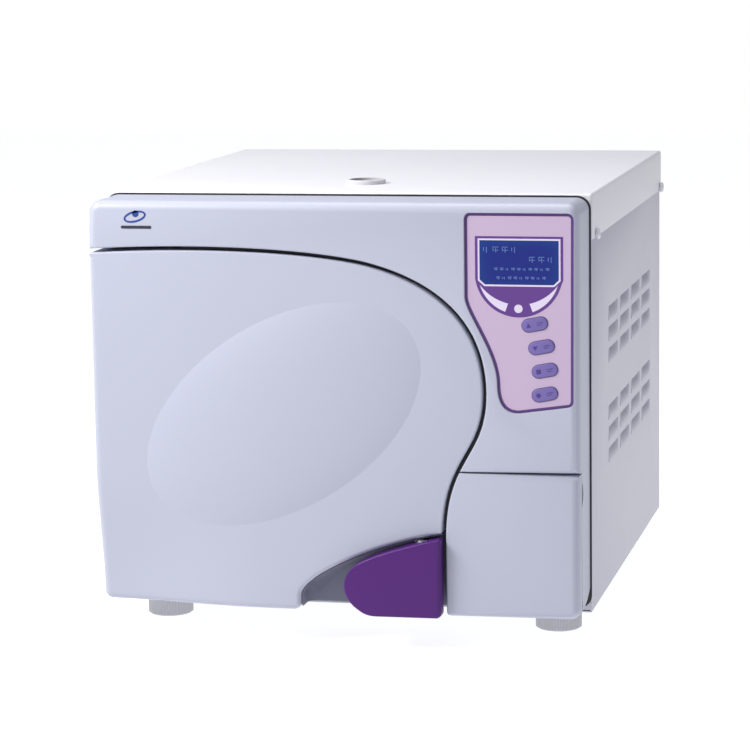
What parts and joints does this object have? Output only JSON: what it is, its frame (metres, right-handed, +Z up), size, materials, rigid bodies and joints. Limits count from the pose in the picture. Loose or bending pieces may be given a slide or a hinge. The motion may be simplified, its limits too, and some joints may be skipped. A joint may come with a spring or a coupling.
{
  "type": "benchtop autoclave",
  "caption": "Benchtop steam autoclave: white sheet-metal casing, moulded swing door with a lever handle, display panel with buttons, hinged service cover, chamber with trays.",
  "frame": {"origin": "on the bench under the feet, in the middle of the overall width and depth", "axes": "+X to the user's right, +Y to the back, +Z up"},
  "size_m": [0.453, 0.57, 0.404],
  "materials": {
    "white_paint": "satin powder coat",
    "lilac_paint": "satin powder coat",
    "fascia_plastic": "satin moulded plastic",
    "purple_plastic": "satin moulded plastic",
    "overlay_film": "printed film",
    "key_rubber": "soft-touch buttons",
    "display_glass": "blue display window",
    "white_plastic": "moulded plastic",
    "black_plastic": "moulded plastic",
    "red_plastic": "moulded plastic",
    "tank_plastic": "rotomoulded plastic",
    "stainless": "brushed",
    "zinc_steel": "zinc plated",
    "machined_steel": "machined",
    "cast_metal": "painted casting",
    "brass": "turned",
    "copper": "drawn tube",
    "aluminium": "plain",
    "silicone_red": "moulded silicone",
    "insulation": "glass wool felt",
    "circuit_board": "solder mask"
  },
  "bodies": {
    "cabinet": {"base_tray": "zinc_steel", "front_plate": "stainless", "left_panel": "lilac_paint", "right_panel": "lilac_paint", "rear_panel": "lilac_paint", "top_cover": "white_paint", "panel_screws": "white_plastic", "filler_collar": "white_plastic", "front_bezel": "fascia_plastic", "control_overlay": "overlay_film", "lcd_window": "display_glass", "lcd_module": "black_plastic", "control_board": "circuit_board", "service_panel": "zinc_steel", "drain_couplings": "brass", "air_filter": "white_plastic", "service_pin": "machined_steel", "lock_keepers": "machined_steel", "hinge_bracket": "cast_metal", "hinge_pin": "machined_steel", "chamber_vessel": "stainless", "heater_band": "copper", "insulation_jacket": "insulation", "tray_rack": "stainless", "trays": "aluminium", "clean_water_tank": "tank_plastic", "waste_water_tank": "tank_plastic", "steam_generator": "stainless", "vacuum_pump": "cast_metal", "water_pump": "cast_metal", "valve_block": "brass", "condenser": "copper", "fan_frame": "black_plastic", "power_supply": "aluminium", "main_board": "circuit_board", "pipework": "copper", "safety_valve": "brass", "power_inlet": "black_plastic", "overflow_barb": "brass", "rear_feet": "white_plastic"},
    "door": {"door_cover": "fascia_plastic", "door_arm": "cast_metal", "pressure_lid": "stainless", "door_gasket": "silicone_red", "lever_bracket": "zinc_steel", "lever_pin": "machined_steel"},
    "lever": {"lever_handle": "purple_plastic"},
    "lock": {"lock_shaft": "machined_steel"},
    "service_door": {"service_cover": "fascia_plastic"},
    "button_up": {"key_up": "key_rubber"},
    "button_down": {"key_down": "key_rubber"},
    "button_set": {"key_set": "key_rubber"},
    "button_start": {"key_start": "key_rubber"},
    "plug": {"filler_plug": "black_plastic"},
    "fan": {"fan_rotor": "black_plastic"},
    "rocker": {"power_rocker": "red_plastic"},
    "relief": {"valve_cap": "brass"},
    "foot_left": {"front_foot_left": "white_plastic"},
    "foot_right": {"front_foot_right": "white_plastic"}
  },
  "joints": [
    {"name": "door_swing", "type": "hinge", "parent": "cabinet", "child": "door", "pos_m": [-0.204, -0.24, 0.19], "axis": [0, 0, 1], "range_deg": [-105, 0]},
    {"name": "lever_turn", "type": "hinge", "parent": "door", "child": "lever", "pos_m": [0.08, -0.271, 0.067], "axis": [0, 0, 1], "range_deg": [0, 60]},
    {"name": "lock_turn", "type": "hinge", "parent": "door", "child": "lock", "pos_m": [0.085, -0.236, 0.176], "axis": [0, 0, 1], "range_deg": [0, 21]},
    {"name": "service_swing", "type": "hinge", "parent": "cabinet", "child": "service_door", "pos_m": [0.161, -0.2675, 0.04], "axis": [1, 0, 0], "range_deg": [0, 90]},
    {"name": "press_up", "type": "slide", "parent": "cabinet", "child": "button_up", "axis": [0, 1, 0], "range_m": [0, 0.0006], "stiffness_N_per_m": 2000, "springref_m": -0.0006},
    {"name": "press_down", "type": "slide", "parent": "cabinet", "child": "button_down", "axis": [0, 1, 0], "range_m": [0, 0.0006], "stiffness_N_per_m": 2000, "springref_m": -0.0006},
    {"name": "press_set", "type": "slide", "parent": "cabinet", "child": "button_set", "axis": [0, 1, 0], "range_m": [0, 0.0006], "stiffness_N_per_m": 2000, "springref_m": -0.0006},
    {"name": "press_start", "type": "slide", "parent": "cabinet", "child": "button_start", "axis": [0, 1, 0], "range_m": [0, 0.0006], "stiffness_N_per_m": 2000, "springref_m": -0.0006},
    {"name": "plug_lift", "type": "slide", "parent": "cabinet", "child": "plug", "axis": [0, 0, 1], "range_m": [0, 0.02]},
    {"name": "fan_spin", "type": "hinge", "parent": "cabinet", "child": "fan", "pos_m": [-0.055, 0.253, 0.19], "axis": [0, 1, 0], "continuous": true},
    {"name": "rocker_tip", "type": "hinge", "parent": "cabinet", "child": "rocker", "pos_m": [0.15, 0.263, 0.128], "axis": [1, 0, 0], "range_deg": [-18, 0]},
    {"name": "relief_pull", "type": "slide", "parent": "cabinet", "child": "relief", "axis": [0, 1, 0], "range_m": [0, 0.003], "stiffness_N_per_m": 3000, "springref_m": -0.002},
    {"name": "level_left", "type": "slide", "parent": "cabinet", "child": "foot_left", "axis": [0, 0, -1], "range_m": [0, 0.008]},
    {"name": "level_right", "type": "slide", "parent": "cabinet", "child": "foot_right", "axis": [0, 0, -1], "range_m": [0, 0.008]}
  ],
  "couplings": [
    {"joint": "lock_turn", "follows": "lever_turn", "ratio": 0.35}
  ]
}
